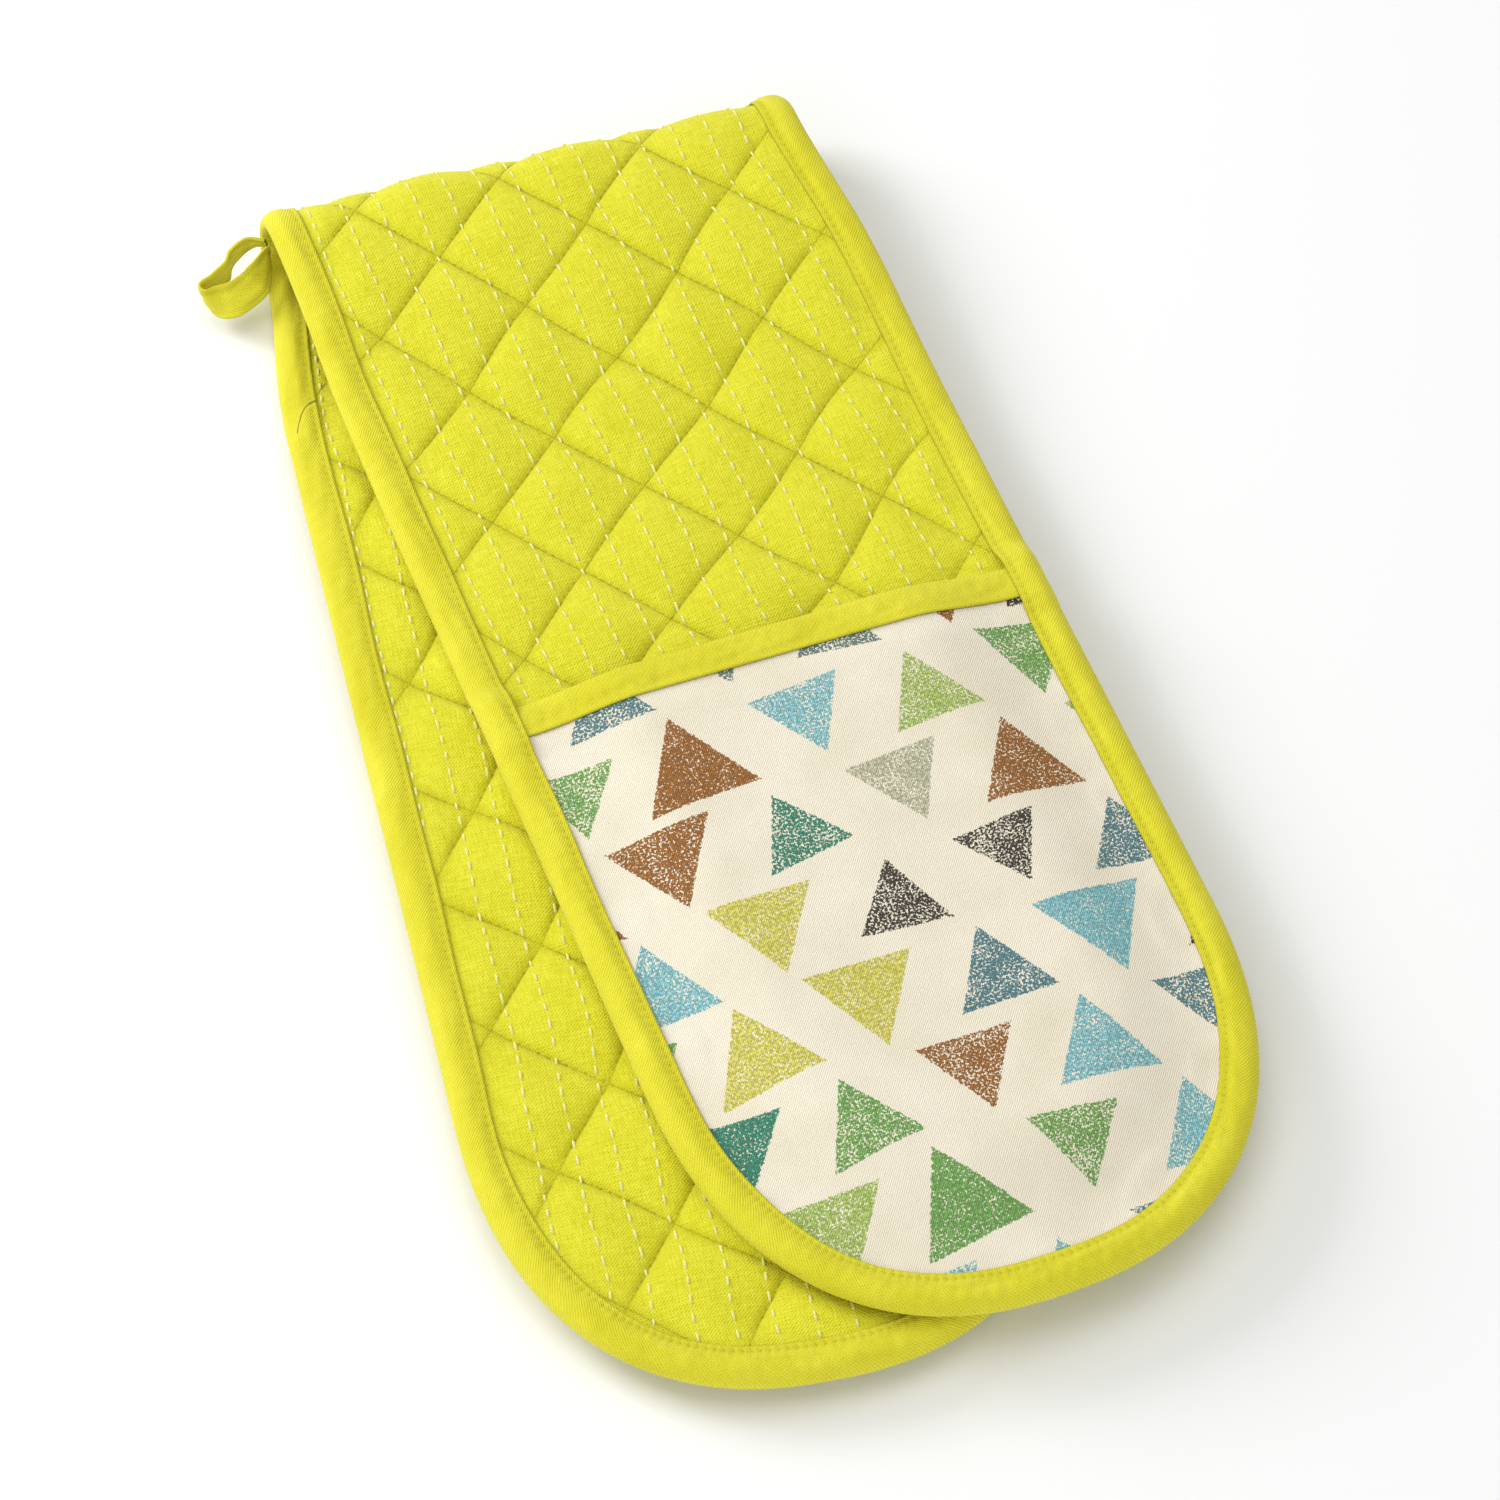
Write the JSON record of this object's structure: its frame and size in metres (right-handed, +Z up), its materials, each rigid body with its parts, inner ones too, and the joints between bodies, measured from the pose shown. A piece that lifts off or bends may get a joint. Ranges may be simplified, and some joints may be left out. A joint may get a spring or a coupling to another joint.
{
  "type": "double oven glove",
  "caption": "Long quilted cotton strip with a hand pocket at each rounded end, bound edges and a hanging loop, lying folded in half.",
  "frame": {"origin": "bottom centre of the folded glove's box", "axes": "+X across the strip along the fold, +Y towards the fold, +Z up; the pocket ends lie towards -Y"},
  "size_m": [0.2386, 0.4455, 0.0305],
  "materials": {
    "lime_cloth": "quilted slub cotton with white running stitches",
    "lime_twill": "cotton twill tape",
    "cream_print": "printed cotton twill",
    "cream_lining": "plain cotton lining",
    "white_wadding": "soft cotton wadding"
  },
  "bodies": {
    "lower_half": {"lower_inner_face": "lime_cloth", "lower_outer_face": "lime_cloth", "lower_wadding": "white_wadding", "lower_pocket_lining": "cream_lining", "lower_pocket_wadding": "white_wadding", "lower_pocket_front": "cream_print", "lower_pocket_mouth_binding": "lime_twill", "lower_edge_binding": "lime_twill"},
    "fold_section": {"fold_inner_face": "lime_cloth", "fold_wadding": "white_wadding", "fold_outer_face": "lime_cloth", "fold_left_binding": "lime_twill", "fold_right_binding": "lime_twill"},
    "upper_half": {"upper_inner_face": "lime_cloth", "upper_outer_face": "lime_cloth", "upper_wadding": "white_wadding", "upper_pocket_lining": "cream_lining", "upper_pocket_wadding": "white_wadding", "upper_pocket_front": "cream_print", "upper_pocket_mouth_binding": "lime_twill", "upper_edge_binding": "lime_twill"},
    "hanging_loop": {"hanging_loop": "lime_twill"}
  },
  "joints": [
    {"name": "fold_lower_hinge", "type": "hinge", "parent": "lower_half", "child": "fold_section", "pos_m": [0, 0.21626, 0.00526], "axis": [-1, 0, 0], "range_deg": [0, 90], "deforming": ["fold_inner_face", "fold_wadding", "fold_outer_face", "fold_left_binding", "fold_right_binding"]},
    {"name": "fold_upper_hinge", "type": "hinge", "parent": "fold_section", "child": "upper_half", "pos_m": [0, 0.21626, 0.02524], "axis": [-1, 0, 0], "range_deg": [0, 90]},
    {"name": "loop_hinge", "type": "hinge", "parent": "fold_section", "child": "hanging_loop", "pos_m": [-0.09142, 0.20866, 0.01525], "axis": [0, 1, 0], "range_deg": [0, 50]}
  ],
  "couplings": [
    {"joint": "fold_upper_hinge", "follows": "fold_lower_hinge", "ratio": 1}
  ]
}
